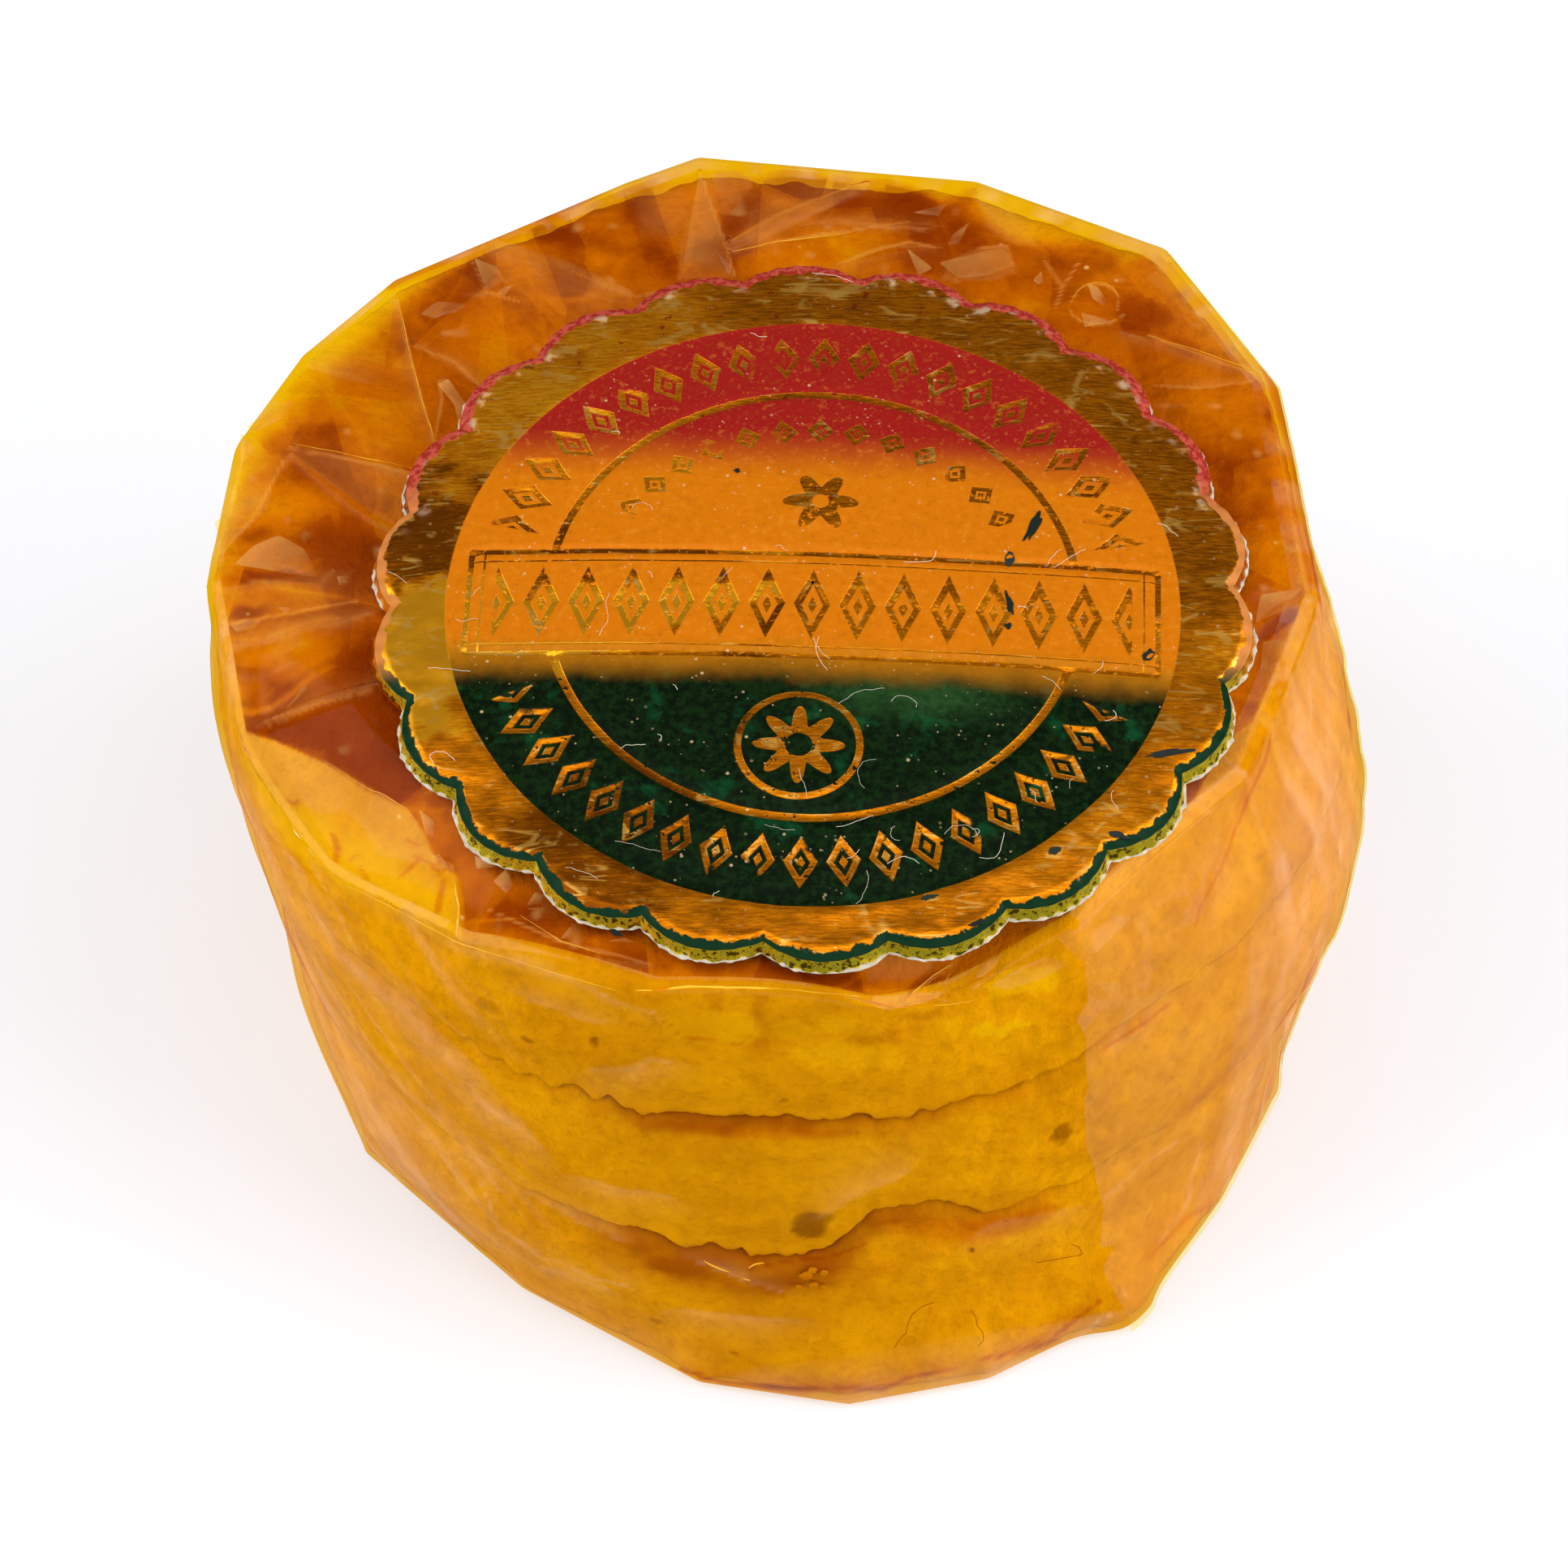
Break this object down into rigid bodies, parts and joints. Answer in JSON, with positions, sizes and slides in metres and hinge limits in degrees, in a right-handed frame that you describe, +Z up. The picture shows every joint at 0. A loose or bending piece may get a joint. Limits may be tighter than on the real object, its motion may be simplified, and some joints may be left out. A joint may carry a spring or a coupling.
{
  "type": "wrapped kaju puri stack",
  "caption": "Round stack of thick cashew sweet discs, wrapped tight in amber see-through film and closed on top with a scalloped foil seal.",
  "frame": {"origin": "middle of the ground that the pack covers, at the flat base", "axes": "+Z up through the stack, -Y the front, which the foil seal sits towards, +X the right side with the second layer of film"},
  "size_m": [0.0693, 0.0661, 0.0447],
  "materials": {
    "amber_film": "thin see-through amber film, glossy and creased, several layers deep on the top",
    "gold_foil": "embossed gold foil on paper, printed with fields of red, orange and green, scuffed",
    "cashew_sweet": "dense pale cashew paste, slightly oily, with ragged disc edges"
  },
  "bodies": {
    "root": {"wrapped_stack": "amber_film", "foil_seal": "gold_foil"}
  },
  "joints": []
}
